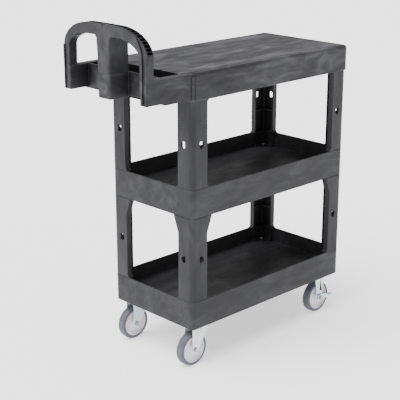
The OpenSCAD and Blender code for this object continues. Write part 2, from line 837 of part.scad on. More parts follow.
// The brake: a cam on the axle, outside the fork, and a lever that turns it
module brake_cam() {
    color(STEEL) translate([0, 0, fork_out]) difference() {
        cylinder(r = cam_r, h = cam_t);
        translate([0, 0, -eps]) cylinder(r = axle_d / 2 + run_gap, h = cam_t + 2 * eps);
    }
}

module brake_lever() {
    y_in = -fork_out - cam_t - gap;
    tip_half = 5;
    pad_l = 22;
    color(ZINC) translate([0, 0, axle_z]) difference() {
        union() {
            rod_y(cam_r, y_in - lever_t, y_in);
            upright([
                touch([lever_l, tip_half], [0, 0], cam_r, 1), [lever_l, tip_half],
                [lever_l, -tip_half], touch([lever_l, -tip_half], [0, 0], cam_r, -1), [0, 0]
            ], y_in - lever_t, y_in);
            box(lever_l - pad_l, lever_l, y_in - 13, y_in, tip_half - lever_t, tip_half);
        }
        rod_y(axle_d / 2 + run_gap, y_in - lever_t - eps, y_in + eps);
    }
}

// ---------- nodes ----------

top_shelf();
bin();
beam(1);  // beam_left
beam(-1);  // beam_right
column_base();
middle_shelf();
bottom_shelf();
upper_leg(-1, 1);  // upper_leg_handle_left
upper_leg(-1, -1);  // upper_leg_handle_right
upper_leg(1, 1);  // upper_leg_front_left
upper_leg(1, -1);  // upper_leg_front_right
lower_leg(-1, 1);  // lower_leg_handle_left
lower_leg(-1, -1);  // lower_leg_handle_right
lower_leg(1, 1);  // lower_leg_front_left
lower_leg(1, -1);  // lower_leg_front_right
handle_left();
handle_right();
handle_screws();
leg_screws_top();
leg_bolts_middle();
leg_nuts_middle();
leg_screws_bottom();
caster_screws();
at_swivel(1) swivel_plate();  // swivel_left_plate
at_swivel(1) kingpin();  // swivel_left_kingpin
at_swivel(1) swivel_balls();  // swivel_left_balls
at_swivel(1) swivel_fork();  // swivel_left_fork
at_swivel(1) at_axle(-trail) hub();  // swivel_left_hub
at_swivel(1) at_axle(-trail) tyre();  // swivel_left_tyre
at_swivel(1) at_axle(-trail) spacer();  // swivel_left_spacer
at_swivel(1) at_axle(-trail) axle_bolt(0);  // swivel_left_axle
at_swivel(1) at_axle(-trail) axle_nut();  // swivel_left_nut
at_swivel(-1) swivel_plate();  // swivel_right_plate
at_swivel(-1) kingpin();  // swivel_right_kingpin
at_swivel(-1) swivel_balls();  // swivel_right_balls
at_swivel(-1) swivel_fork();  // swivel_right_fork
at_swivel(-1) at_axle(-trail) hub();  // swivel_right_hub
at_swivel(-1) at_axle(-trail) tyre();  // swivel_right_tyre
at_swivel(-1) at_axle(-trail) spacer();  // swivel_right_spacer
at_swivel(-1) at_axle(-trail) axle_bolt(0);  // swivel_right_axle
at_swivel(-1) at_axle(-trail) axle_nut();  // swivel_right_nut
at_rigid(1) rigid_fork();  // rigid_left_fork
at_rigid(1) at_axle(0) hub();  // rigid_left_hub
at_rigid(1) at_axle(0) tyre();  // rigid_left_tyre
at_rigid(1) at_axle(0) spacer();  // rigid_left_spacer
at_rigid(1) at_axle(0) axle_bolt(cam_t + lever_t + 2 * gap);  // rigid_left_axle
at_rigid(1) at_axle(0) axle_nut();  // rigid_left_nut
at_rigid(1) at_axle(0) brake_cam();  // rigid_left_cam
at_rigid(1) brake_lever();  // rigid_left_lever
at_rigid(-1) rigid_fork();  // rigid_right_fork
at_rigid(-1) at_axle(0) hub();  // rigid_right_hub
at_rigid(-1) at_axle(0) tyre();  // rigid_right_tyre
at_rigid(-1) at_axle(0) spacer();  // rigid_right_spacer
at_rigid(-1) at_axle(0) axle_bolt(cam_t + lever_t + 2 * gap);  // rigid_right_axle
at_rigid(-1) at_axle(0) axle_nut();  // rigid_right_nut
at_rigid(-1) at_axle(0) brake_cam();  // rigid_right_cam
at_rigid(-1) brake_lever();  // rigid_right_lever
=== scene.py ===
"""The looks of a rolling utility cart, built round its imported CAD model."""

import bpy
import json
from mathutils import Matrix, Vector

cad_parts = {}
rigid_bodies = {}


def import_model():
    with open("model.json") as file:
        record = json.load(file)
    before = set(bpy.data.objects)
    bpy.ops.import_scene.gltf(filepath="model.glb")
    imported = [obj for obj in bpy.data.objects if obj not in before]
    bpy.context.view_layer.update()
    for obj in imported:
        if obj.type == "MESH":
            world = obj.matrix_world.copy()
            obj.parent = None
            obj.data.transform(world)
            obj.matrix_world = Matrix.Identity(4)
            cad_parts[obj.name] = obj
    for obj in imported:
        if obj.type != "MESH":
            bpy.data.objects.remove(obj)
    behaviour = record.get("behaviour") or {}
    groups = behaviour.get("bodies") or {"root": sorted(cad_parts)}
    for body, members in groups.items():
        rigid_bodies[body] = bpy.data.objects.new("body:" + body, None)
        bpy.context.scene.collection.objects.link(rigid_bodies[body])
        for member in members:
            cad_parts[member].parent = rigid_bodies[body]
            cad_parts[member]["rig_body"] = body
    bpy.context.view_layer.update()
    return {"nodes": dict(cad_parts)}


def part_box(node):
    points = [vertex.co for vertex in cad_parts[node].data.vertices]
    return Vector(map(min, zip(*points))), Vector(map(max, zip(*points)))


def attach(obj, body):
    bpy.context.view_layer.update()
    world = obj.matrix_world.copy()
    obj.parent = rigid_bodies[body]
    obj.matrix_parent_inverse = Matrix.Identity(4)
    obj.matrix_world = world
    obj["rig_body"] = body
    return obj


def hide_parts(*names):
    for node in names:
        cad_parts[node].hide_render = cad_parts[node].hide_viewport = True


bl_info = {
    "name": "Rolling utility cart",
    "version": (1, 0, 0),
    "blender": (4, 5, 0),
    "location": "View3D > Sidebar > Cart",
    "description": "Builds the visible pieces and the finishes of a utility cart",
    "category": "Object",
}

import json
import math

import bmesh
import bpy
from bpy.props import FloatProperty, FloatVectorProperty, PointerProperty
from bpy.types import Operator, Panel, PropertyGroup
from mathutils import Vector

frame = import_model()

MM = 0.001
TOP_NODES = ("top_shelf", "bin", "beam_left", "beam_right", "column_base")
TRAYS = ("middle_shelf", "bottom_shelf")
LEGS = [f"{level}_leg_{end}_{side}" for level in ("upper", "lower") for end in ("handle", "front")
        for side in ("left", "right")]
HANDLES = ("handle_left", "handle_right")
CASTERS = ("swivel_left", "swivel_right", "rigid_left", "rigid_right")
FASTENERS = ["handle_screws", "leg_screws_top", "leg_bolts_middle", "leg_nuts_middle", "leg_screws_bottom",
             "caster_screws"] + [f"{caster}_{part}" for caster in CASTERS for part in ("axle", "nut")]
TIP_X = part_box("column_base")[0].x                  # the end of the handles and columns
HANDLE_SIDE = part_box("handle_left")[1].y            # outer face of a handle and of its column
WELD = 0.005 * MM                                   # corners closer than this are one corner
FLAT = math.radians(0.6)                            # faces that turn less than this are one face


# ---------- colours and material nodes ----------

def linear(hex_colour):
    """An sRGB hex colour, such as 3f4042, as linear red, green, blue and alpha."""
    parts = [int(hex_colour[i:i + 2], 16) / 255 for i in (0, 2, 4)]
    return tuple(c / 12.92 if c <= 0.04045 else ((c + 0.055) / 1.055) ** 2.4 for c in parts) + (1.0,)


def add(tree, kind, links=(), **settings):
    """Adds a node. A setting names a property or, with a leading _, an input; links are (input, socket)."""
    node = tree.nodes.new(kind)
    for name, value in settings.items():
        if name.startswith("_"):
            key = name[1:]
            node.inputs[int(key) if key.isdigit() else key.replace("_", " ")].default_value = value
        else:
            setattr(node, name, value)
    for key, socket in links:
        tree.links.new(socket, node.inputs[key])
    return node


def new_material(name, **settings):
    """A Principled material with constant values on its sockets. Returns it, its tree and its shader."""
    material = bpy.data.materials.new(name)
    material.use_nodes = True
    tree = material.node_tree
    shader = tree.nodes["Principled BSDF"]
    for key, value in settings.items():
        shader.inputs[key.replace("_", " ")].default_value = value
    return material, tree, shader


def colour_ramp(tree, factor, stops):
    """A ramp from (position, colour) stops, fed by factor."""
    ramp = add(tree, "ShaderNodeValToRGB", [("Fac", factor)])
    while len(ramp.color_ramp.elements) < len(stops):
        ramp.color_ramp.elements.new(0.5)
    for element, (position, colour) in zip(ramp.color_ramp.elements, stops):
        element.position = position
        element.color = colour
    return ramp.outputs["Color"]


def blend(start, end, share):
    """A colour part of the way, or beyond, from one colour to another."""
    return tuple(max(0.0, a + (b - a) * share) for a, b in zip(start, end))


def shade(start, factor):
    """A colour made darker or lighter by a factor."""
    return tuple(min(1.0, c * factor) for c in start[:3]) + (1.0,)


def material_once(build):
    """Lets a finish be asked for by several operators and be made only once."""
    made = {}

    def get(*choice):
        if choice not in made:
            made[choice] = build(*choice)
        return made[choice]
    return get


def colours():
    return bpy.context.scene.cart_colours


PAINTED_SHADE_REACH = 0.16                                  # how wide a hollow still gets painted shade, in metres
PAINTED_SHADE_LEFT = 0.16                                   # how much of the resin's colour is left where the painted shade is deepest
# Each kind of moulding's swirls, by their stretch and strength, and whether painted shade darkens its
# hollows
FLOWS = {"top": ((0.3, 1.0, 1.0), 0.8, True), "tray": ((0.4, 1.0, 1.0), 0.3, False),
         "upright": ((1.0, 1.0, 0.25), 0.35, False), "hoop": ((0.8, 1.0, 0.6), 0.4, True)}


@material_once
def structural_foam(flow):
    """Structural foam HDPE, injection moulded at low pressure: a matte, slightly waxy skin.

    The gas in the melt leaves cloudy swirls about 45 mm across, drawn out to as much as four times
    that along the flow, over an orange-peel grain of about 1.5 mm. Upright mouldings flow along Z.
    On the top and the hoops, painted shade darkens the hollows, as far as an ambient occlusion node finds
    them closed in.
    """
    material, tree, shader = new_material(f"Structural foam HDPE, moulded, flow {flow}",
                                          IOR=1.51, Roughness=0.5, Specular_IOR_Level=0.16)
    coords = add(tree, "ShaderNodeTexCoord").outputs["Object"]
    stretch, strength, paints_shade = FLOWS[flow]
    drawn = add(tree, "ShaderNodeMapping", [("Vector", coords)], _Scale=stretch).outputs["Vector"]
    swirl = add(tree, "ShaderNodeTexNoise", [("Vector", drawn)],
                _Scale=22.0, _Detail=5.0, _Roughness=0.55, _Distortion=0.8).outputs["Fac"]
    cloud = add(tree, "ShaderNodeTexNoise", [("Vector", drawn)], _Scale=9.0, _Detail=3.0).outputs["Fac"]
    mixed = add(tree, "ShaderNodeMix", [("A", swirl), ("B", cloud)], data_type="FLOAT", _Factor=0.4)
    resin = colours().resin
    dark, light = (blend(resin, end, strength) for end in (colours().resin_dark, colours().resin_light))
    tint = colour_ramp(tree, mixed.outputs["Result"], [(0.36, dark), (0.5, resin), (0.64, light)])
    # Painted shade: ambient occlusion darkens the resin's colour in the hollows, standing in for shadow
    if paints_shade:
        hollow = add(tree, "ShaderNodeAmbientOcclusion", _Distance=PAINTED_SHADE_REACH, samples=8).outputs["AO"]
        shade_factor = add(tree, "ShaderNodeMapRange", [("Value", hollow)], _1=0.45, _2=0.85, _3=PAINTED_SHADE_LEFT, _4=1.0)
        shaded_tint = add(tree, "ShaderNodeVectorMath", [(0, tint), ("Scale", shade_factor.outputs["Result"])],
                      operation="SCALE")
        tint = shaded_tint.outputs["Vector"]
    tree.links.new(tint, shader.inputs["Base Color"])
    gloss = add(tree, "ShaderNodeMapRange", [("Value", swirl)], _1=0.3, _2=0.7, _3=0.58, _4=0.42)
    tree.links.new(gloss.outputs["Result"], shader.inputs["Roughness"])
    grain = add(tree, "ShaderNodeTexNoise", [("Vector", coords)], _Scale=650.0, _Detail=2.0).outputs["Fac"]
    wave = add(tree, "ShaderNodeBump", [("Height", swirl)], _Strength=0.3, _Distance=0.8 * MM)
    peel = add(tree, "ShaderNodeBump", [("Height", grain), ("Normal", wave.outputs["Normal"])],
               _Strength=0.25, _Distance=0.2 * MM)
    tree.links.new(peel.outputs["Normal"], shader.inputs["Normal"])
    return material


def drifting_finish(name, stops, scale, rough, grain, **settings):
    """A finish whose colour and roughness drift together, over a fine grain of the given size."""
    material, tree, shader = new_material(name, **settings)
    coords = add(tree, "ShaderNodeTexCoord").outputs["Object"]
    drift = add(tree, "ShaderNodeTexNoise", [("Vector", coords)],
                _Scale=scale, _Detail=4.0, _Distortion=0.6).outputs["Fac"]
    tree.links.new(colour_ramp(tree, drift, stops), shader.inputs["Base Color"])
    roughness = add(tree, "ShaderNodeMapRange", [("Value", drift)], _1=0.3, _2=0.7, _3=rough[0], _4=rough[1])
    tree.links.new(roughness.outputs["Result"], shader.inputs["Roughness"])
    fine = add(tree, "ShaderNodeTexNoise", [("Vector", coords)], _Scale=1 / (grain * MM), _Detail=2.0)
    bump = add(tree, "ShaderNodeBump", [("Height", fine.outputs["Fac"])], _Strength=0.2, _Distance=0.15 * MM)
    tree.links.new(bump.outputs["Normal"], shader.inputs["Normal"])
    return material


@material_once
def zinc_plate():
    """Bright zinc plate on pressed sheet steel: a soft shine, with a faint blue cast in patches of 25 mm."""
    zinc = colours().zinc
    blue = (zinc[0] * 0.86, zinc[1] * 0.95, zinc[2], 1.0)
    return drifting_finish("Zinc plated sheet steel, pressed",
                           [(0.36, blue), (0.5, zinc), (0.66, shade(zinc, 0.82))],
                           scale=40.0, rough=(0.34, 0.5), grain=0.9, Metallic=0.6)


@material_once
def fastener_steel():
    """Zinc plated steel bar, cold headed: brighter and duller in random patches of about 6 mm."""
    steel = colours().steel
    return drifting_finish("Zinc plated fastener steel, cold headed",
                           [(0.38, shade(steel, 0.7)), (0.5, steel), (0.62, shade(steel, 1.25))],
                           scale=160.0, rough=(0.3, 0.46), grain=0.5, Metallic=0.9)


@material_once
def tyre_rubber():
    """Grey thermoplastic rubber, moulded: matte, with a dusty bloom in soft patches of about 30 mm."""
    tyre = colours().tyre
    return drifting_finish("Thermoplastic rubber, moulded",
                           [(0.36, shade(tyre, 0.82)), (0.64, shade(tyre, 1.15))],
                           scale=34.0, rough=(0.5, 0.64), grain=0.7, IOR=1.5)


@material_once
def hub_plastic():
    """Pale polypropylene, injection moulded: a satin skin with faint flow marks of about 35 mm."""
    hub = colours().hub
    return drifting_finish("Polypropylene, injection moulded", [(0.36, shade(hub, 0.88)), (0.62, hub)],
                           scale=28.0, rough=(0.32, 0.46), grain=1.2, IOR=1.49, Subsurface_Weight=0.04)


# ---------- mesh helpers ----------

def node_bmesh(node):
    """A bmesh of a CAD node with its loose triangles joined and its flat faces made whole."""
    bm = bmesh.new()
    bm.from_mesh(frame["nodes"][node].data)
    bmesh.ops.remove_doubles(bm, verts=bm.verts, dist=WELD)
    bmesh.ops.dissolve_limit(bm, angle_limit=FLAT, verts=bm.verts, edges=bm.edges)
    bm.normal_update()
    return bm


def planes_of(node, slack=0.01 * MM):
    """The X, Y and Z places of a CAD node's level and upright faces."""
    places = ([], [], [])
    mesh = frame["nodes"][node].data
    for face in mesh.polygons:
        for axis in range(3):
            place = mesh.vertices[face.vertices[0]].co[axis]
            if abs(face.normal[axis]) > 0.9999 and not any(abs(place - p) < slack for p in places[axis]):
                places[axis].append(place)
    return places


def welded(nodes, cutters):
    """One bmesh from CAD nodes that touch: the faces they share are cut to match, taken out and joined."""
    bm = bmesh.new()
    for node in nodes:
        part = node_bmesh(node)
        mesh = bpy.data.meshes.new("part")
        part.to_mesh(mesh)
        part.free()
        bm.from_mesh(mesh)
        bpy.data.meshes.remove(mesh)
    cuts = [planes_of(node) for node in cutters]
    for axis in range(3):
        for place in sorted({round(c, 6) for cut in cuts for c in cut[axis]}):
            on_planes = [f for f in bm.faces for k in range(3) if k != axis and abs(f.normal[k]) > 0.999
                         and any(near(f.verts[0].co[k], c) for cut in cuts for c in cut[k])]
            geom = list({item for f in on_planes for item in (f, *f.edges, *f.verts)})
            point, normal = Vector((0, 0, 0)), Vector((0, 0, 0))
            point[axis], normal[axis] = place, 1
            bmesh.ops.bisect_plane(bm, geom=geom, plane_co=point, plane_no=normal, dist=0.002 * MM)
    seen = {}
    for face in bm.faces:
        centre = tuple(round(c / MM, 1) + 0.0 for c in face.calc_center_bounds())
        seen.setdefault((centre, round(face.calc_area() / MM ** 2)), []).append(face)
    shared = [f for pair in seen.values() if len(pair) == 2 and pair[0].normal.dot(pair[1].normal) < -0.99
              for f in pair]
    bmesh.ops.delete(bm, geom=shared, context="FACES")
    bmesh.ops.remove_doubles(bm, verts=bm.verts, dist=WELD)
    bmesh.ops.dissolve_limit(bm, angle_limit=FLAT, verts=bm.verts, edges=bm.edges)
    bm.normal_update()
    if any(len(e.link_faces) != 2 for e in bm.edges):
        raise RuntimeError("the top shelf's parts don't weld into a closed mesh")
    return bm


def reach(face, edge):
    """How far a face runs from one of its edges, square to it."""
    start = edge.verts[0].co
    along = (edge.verts[1].co - start).normalized()
    offsets = [v.co - start for v in face.verts]
    return max((o - o.dot(along) * along).length for o in offsets)


def turns(edge, degrees=30):
    return len(edge.link_faces) == 2 and edge.calc_face_angle() > math.radians(degrees)


def round_edges(bm, edges, width, segments=2, room=2.2):
    """Rounds the given edges, except beside a face narrower than room times the round."""
    wide = [e for e in edges
            if e.is_valid and turns(e) and min(reach(f, e) for f in e.link_faces) > room * width]
    bmesh.ops.bevel(bm, geom=wide, offset=width, offset_type="OFFSET", segments=segments, profile=0.5,
                    affect="EDGES", clamp_overlap=False, material=-1)
    bm.normal_update()


def place(bm, name, material, body, slot, replaces=()):
    """Makes a bmesh a piece that rides on a body, smooth but for its sharp edges."""
    for face in bm.faces:
        face.smooth = True
    for edge in bm.edges:
        edge.smooth = not turns(edge, 50)
    mesh = bpy.data.meshes.new(name)
    bm.to_mesh(mesh)
    bm.free()
    mesh.materials.append(material)
    piece = bpy.data.objects.new(name, mesh)
    bpy.context.scene.collection.objects.link(piece)
    shading = piece.modifiers.new("Flat faces stay flat", "WEIGHTED_NORMAL")
    shading.keep_sharp = True
    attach(piece, body)
    if replaces:
        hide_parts(*replaces)
    return piece


def body_of(node):
    return frame["nodes"][node]["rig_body"]


def refinish(node, material):
    """Gives a CAD node that keeps its mesh a new finish."""
    for material_slot in frame["nodes"][node].material_slots:
        material_slot.material = material


def inside(point, low, high, slack=0.05 * MM):
    return all(a - slack <= p <= b + slack for p, a, b in zip(point, low, high))


# ---------- what a user would change ----------

def length(name, description, millimetres):
    return FloatProperty(name=name, description=description, default=millimetres * MM, min=0.0,
                         subtype="DISTANCE", unit="LENGTH", precision=4)


def colour(name, description, hex_colour):
    return FloatVectorProperty(name=name, description=description, default=linear(hex_colour), size=4,
                               min=0.0, max=1.0, subtype="COLOR")


class CartSizes(PropertyGroup):
    """Rounds and relief that the moulds and presses leave on the pieces."""
    moulded_edge: length("Moulded edge", "Round on the edges of the resin mouldings", 1.6)
    rim_round: length("Rim round", "Round on the trays' upper rims and the top shelf's lower ones", 2.2)
    lower_round: length("Lower round", "Round on the trays' outer lower edges", 3.7)
    bead_round: length("Bead round", "Round on the outer edges of the hoops and their columns", 7.0)
    grip_round: length("Grip round", "Round on the inner edges of the hoops and their columns", 4.0)
    column_round: length("Column round", "Round on the centre column's two outer corners", 8.0)
    foot_round: length("Foot round", "Round under the columns' lower ends", 4.0)
    parting_edge: length("Parting edge", "Round where two mouldings meet", 0.7)
    sheet_edge: length("Sheet edge", "Round on the edges of pressed steel sheet", 0.6)
    bend_round: length("Bend round", "Outer radius where fork sheet is bent", 4.5)
    rib_relief: length("Rib relief", "Height of the ribs pressed into the forks", 1.6)
    chamfer: length("Chamfer", "Chamfer on bolt heads and nuts", 0.7)


class CartColours(PropertyGroup):
    """Colours of the finishes."""
    resin_dark: colour("Resin, dark", "Darkest cloud in the resin", "1b1b1d")
    resin: colour("Resin", "The resin's usual colour", "2e2e30")
    resin_light: colour("Resin, light", "Lightest swirl in the resin", "4b4b4e")
    zinc: colour("Zinc plate", "Bright zinc on the forks and plates", "dfe6e5")
    steel: colour("Fastener steel", "Zinc plate on bolts and nuts", "a9acac")
    tyre: colour("Tyre", "Grey thermoplastic rubber", "4e515a")
    hub: colour("Hub", "Pale polypropylene of the wheel centres", "dcd6de")


# ---------- mouldings ----------

def middle(edge):
    return (edge.verts[0].co + edge.verts[1].co) / 2


def runs_along(edge, axis):
    """Whether an edge lies along X (0), Y (1) or Z (2)."""
    way = edge.verts[1].co - edge.verts[0].co
    return abs(way[axis]) > 0.999 * way.length


def near(value, *targets, slack=0.06 * MM):
    return any(abs(value - target) < slack for target in targets)


def soften(bm, groups):
    """Rounds groups of edges one after the other; a group is a test, a width and a number of segments."""
    for test, width, segments in groups:
        round_edges(bm, [e for e in bm.edges if turns(e) and test(e)], width, segments)


WALL_IN = Vector((2 * MM, 2 * MM, -1))              # less than a tray's wall, and no limit on height
RIM_BAND = 6 * MM                                   # how far up a tray's lower round may reach
FOOT_BAND = 20 * MM                                 # the columns' lower ends lie this near the skirt's edge
POST_REACH = 30 * MM                                # the corner posts lie this near the shelf's end
COLUMN_D = 34 * MM                                  # depth of the handles and columns along the cart
COLUMN_HALF_W = 32.5 * MM                           # half the centre column's width
HOOP_RISE = 71 * MM                                 # straight height of the hoops, from the parting line
HOLE_UP = 60 * MM                                   # a point inside a hoop's hole, above the parting line
NOTCHES_Y = (60 * MM, 150 * MM)                     # where the finger notches are, from the cart's middle


def column_corners(at_outer_side):
    """A test for the outer columns' upright corners at the handle end, on one side or the other."""
    y = HANDLE_SIDE if at_outer_side else HANDLE_SIDE - COLUMN_D
    return lambda e: near(middle(e).x, TIP_X) and near(abs(middle(e).y), y) and runs_along(e, 2)


def centre_column_corners(e):
    return near(middle(e).x, TIP_X) and near(abs(middle(e).y), COLUMN_HALF_W) and runs_along(e, 2)


class CART_OT_trays(Operator):
    """The two open trays, with the soft edges of low-pressure mouldings"""
    bl_idname = "cart.trays"
    bl_label = "Trays"

    def execute(self, context):
        sizes = context.scene.cart_sizes
        for node in TRAYS:
            bm = node_bmesh(node)
            low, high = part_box(node)

            def under_rim(e):
                """Whether an edge is the outer one of the tray's lower rim."""
                return near(middle(e).z, low.z) and not inside(middle(e), low + WALL_IN, high - WALL_IN)

            round_edges(bm, [e for e in bm.edges if under_rim(e)], sizes.lower_round, 5, room=1.3)
            soften(bm, [
                (lambda e: near(middle(e).z, high.z), sizes.rim_round, 3),
                (lambda e: low.z + RIM_BAND < middle(e).z < high.z - 0.1 * MM, sizes.moulded_edge, 3)])
            place(bm, f"moulded_{node}", structural_foam("tray"), body_of(node), "resin", [node])
        return {"FINISHED"}


class CART_OT_top(Operator):
    """The top shelf: one moulding with the bin, the beams and the columns' bases"""
    bl_idname = "cart.top"
    bl_label = "Top shelf"

    def execute(self, context):
        sizes = context.scene.cart_sizes
        low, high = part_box("top_shelf")
        bm = welded(TOP_NODES, TOP_NODES[1:])

        def on_columns(e):
            return middle(e).x < TIP_X + COLUMN_D + 0.1 * MM

        def column_foot(e):
            flat = abs(e.verts[0].co.z - e.verts[1].co.z) < 0.01 * MM
            return on_columns(e) and flat and middle(e).z < low.z + FOOT_BAND

        def parting(e):
            return on_columns(e) and near(middle(e).z, high.z)

        def at_corner_post(e):
            return abs(middle(e).x - low.x) < POST_REACH and abs(middle(e).y) > HANDLE_SIDE - 1 * MM

        def rims(e):
            return near(middle(e).z, low.z) and not at_corner_post(e)

        def elsewhere(e):
            return not near(middle(e).z, high.z) and not (at_corner_post(e) and not runs_along(e, 2))

        soften(bm, [(column_corners(True), sizes.bead_round, 5),
                    (centre_column_corners, sizes.column_round, 5),
                    (column_corners(False), sizes.grip_round, 4), (column_foot, sizes.foot_round, 4),
                    (parting, sizes.parting_edge, 3), (rims, sizes.rim_round, 3),
                    (elsewhere, sizes.moulded_edge, 3)])
        place(bm, "moulded_top_shelf", structural_foam("top"), body_of("top_shelf"), "resin", TOP_NODES)
        return {"FINISHED"}


class CART_OT_legs(Operator):
    """The eight legs, with soft edges and swirls drawn out upwards"""
    bl_idname = "cart.legs"
    bl_label = "Legs"

    def execute(self, context):
        sizes = context.scene.cart_sizes
        for node in LEGS:
            bm = node_bmesh(node)
            soften(bm, [(lambda e: True, sizes.moulded_edge * 0.7, 3)])
            place(bm, f"moulded_{node}", structural_foam("upright"), body_of(node), "resin", [node])
        return {"FINISHED"}


class CART_OT_handles(Operator):
    """The two hoop handles: a rounded bead outside, a channel, a flat ridge and a ribbed grip"""
    bl_idname = "cart.handles"
    bl_label = "Handles"

    def execute(self, context):
        sizes = context.scene.cart_sizes
        for node in HANDLES:
            low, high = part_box(node)
            side = 1 if high.y > 0 else -1
            hole = Vector((0, side * (HANDLE_SIDE - COLUMN_D + COLUMN_HALF_W) / 2, low.z + HOLE_UP))

            def outline(e):
                """1 on the hoop's outer outline, -1 round its hole, 0 elsewhere."""
                at = middle(e)
                if not near(at.x, TIP_X, TIP_X + COLUMN_D) or near(at.z, low.z) or abs(at.y) < 1 * MM:
                    return 0
                level = [f for f in e.link_faces if abs(f.normal.x) > 0.99]
                round_it = [f for f in e.link_faces if abs(f.normal.x) < 0.05]
                if not level or not round_it:
                    return 0
                outward = round_it[0].normal.dot(at - Vector((at.x, hole.y, hole.z)))
                return 1 if outward > 0 else -1

            def straight(e):
                return middle(e).z < low.z + HOOP_RISE

            def gripped(e):
                return NOTCHES_Y[0] < abs(middle(e).y) < NOTCHES_Y[1]

            bm = node_bmesh(node)
            soften(bm, [
                (centre_column_corners, sizes.column_round, 5),
                (lambda e: outline(e) == 1 and straight(e), sizes.bead_round, 5),
                (lambda e: outline(e) == -1 and straight(e), sizes.grip_round, 4),
                (lambda e: outline(e) == -1 and not straight(e) and not gripped(e), sizes.moulded_edge, 3),
                (lambda e: outline(e) == 1 and not straight(e), sizes.moulded_edge, 3),
                (lambda e: near(middle(e).z, low.z) or abs(middle(e).y) < 1 * MM, sizes.parting_edge, 3),
                (lambda e: straight(e) and not near(middle(e).z, low.z), sizes.moulded_edge * 0.7, 3)])
            place(bm, f"moulded_{node}", structural_foam("hoop"), body_of(node), "resin", [node])
        return {"FINISHED"}


# ---------- hardware ----------

RIB_HALF_W = 7 * MM                                 # half a fork rib's width
RIB_ABOVE_AXLE = 24 * MM                            # from the axle up to the rib's lower end
RIB_BELOW_TOP = 16 * MM                             # from the fork's top down to the rib's upper end
SWIVEL_RIB_AHEAD = 9 * MM                           # a swivel fork leans, so its ribs lie ahead of the axle
BEND_BAND = 6 * MM                                  # the fork's bends lie this near its top
# Steps of a rib's pressed flank, as shares of its relief: how far in, and how far out
RIB_STEPS = ((0.8, 0.15), (1.2, 0.5), (1.2, 0.3), (0.8, 0.05))


class CART_OT_fasteners(Operator):
    """Screws, bolts and nuts with chamfered heads"""
    bl_idname = "cart.fasteners"
    bl_label = "Fasteners"

    def execute(self, context):
        for node in FASTENERS:
            bm = node_bmesh(node)
            soften(bm, [(lambda e: True, context.scene.cart_sizes.chamfer, 1)])
            place(bm, f"plated_{node}", fastener_steel(), body_of(node), "steel", [node])
        return {"FINISHED"}


def press_rib(bm, y, x, z, relief):
    """Presses a rib outwards from a fork leg's flat: y is the flat's place, x and z the rib's ends."""
    out = 1 if y > sum(v.co.y for v in bm.verts) / len(bm.verts) else -1

    def flat_faces():
        return [f for f in bm.faces if near(f.verts[0].co.y, y, slack=0.3 * MM) and f.normal.y * out > 0.99]

    for axis, ends in ((0, x), (2, z)):
        for end in ends:
            cut = flat_faces()
            geom = list({item for f in cut for item in (f, *f.edges, *f.verts)})
            place_on, normal = Vector((0, 0, 0)), Vector((0, 0, 0))
            place_on[axis], normal[axis] = end, 1
            bmesh.ops.bisect_plane(bm, geom=geom, plane_co=place_on, plane_no=normal, dist=1e-7)
    inner = [f for f in flat_faces()
             if all(inside((v.co.x, v.co.z), (x[0], z[0]), (x[1], z[1])) for v in f.verts)]
    if not inner:
        raise RuntimeError("the fork's leg has no flat where its rib belongs")
    inner = bmesh.ops.dissolve_faces(bm, faces=inner, use_verts=True)["region"]
    for thickness, share in RIB_STEPS:
        bmesh.ops.inset_region(bm, faces=inner, thickness=thickness * relief, depth=share * relief,
                               use_boundary=True, use_even_offset=True)


class CART_OT_forks(Operator):
    """Forks and plates pressed from zinc plated sheet, with bends and a rib in each leg"""
    bl_idname = "cart.forks"
    bl_label = "Forks and plates"

    def execute(self, context):
        sizes = context.scene.cart_sizes
        for caster in CASTERS:
            node = f"{caster}_fork"
            low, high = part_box(node)
            wheel_low, wheel_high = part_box(f"{caster}_hub")
            axle = (wheel_low + wheel_high) / 2
            fork_half = min(abs(corner.y - axle.y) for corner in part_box(f"{caster}_nut"))
            bm = node_bmesh(node)
            for out in (-1, 1):
                rib_x = axle.x if caster.startswith("rigid") else axle.x + SWIVEL_RIB_AHEAD
                press_rib(bm, axle.y + out * fork_half, (rib_x - RIB_HALF_W, rib_x + RIB_HALF_W),
                          (axle.z + RIB_ABOVE_AXLE, high.z - RIB_BELOW_TOP), sizes.rib_relief)

            def bends(e):
                return (runs_along(e, 0) and near(abs(middle(e).y - axle.y), fork_half, slack=0.2 * MM)
                        and middle(e).z > high.z - BEND_BAND)

            if caster.startswith("swivel"):
                soften(bm, [(bends, sizes.bend_round, 5)])
            soften(bm, [(lambda e: True, sizes.sheet_edge, 2)])
            place(bm, f"pressed_{node}", zinc_plate(), body_of(node), "zinc_plate", [node])
            if caster.startswith("swivel"):
                bm = node_bmesh(f"{caster}_plate")
                soften(bm, [(lambda e: True, sizes.sheet_edge, 2)])
                place(bm, f"pressed_{caster}_plate", zinc_plate(), body_of(f"{caster}_plate"), "zinc_plate",
                      [f"{caster}_plate"])
                for part in ("kingpin", "balls"):
                    refinish(f"{caster}_{part}", fastener_steel())
            refinish(f"{caster}_spacer", fastener_steel())
        return {"FINISHED"}


class CART_OT_brakes(Operator):
    """Brake levers and their cams on the rigid casters"""
    bl_idname = "cart.brakes"
    bl_label = "Brakes"

    def execute(self, context):
        for caster in CASTERS[2:]:
            node = f"{caster}_lever"
            bm = node_bmesh(node)
            soften(bm, [(lambda e: True, context.scene.cart_sizes.sheet_edge, 2)])
            place(bm, f"pressed_{node}", zinc_plate(), body_of(node), "zinc_plate", [node])
            refinish(f"{caster}_cam", fastener_steel())
        return {"FINISHED"}


# ---------- wheels ----------

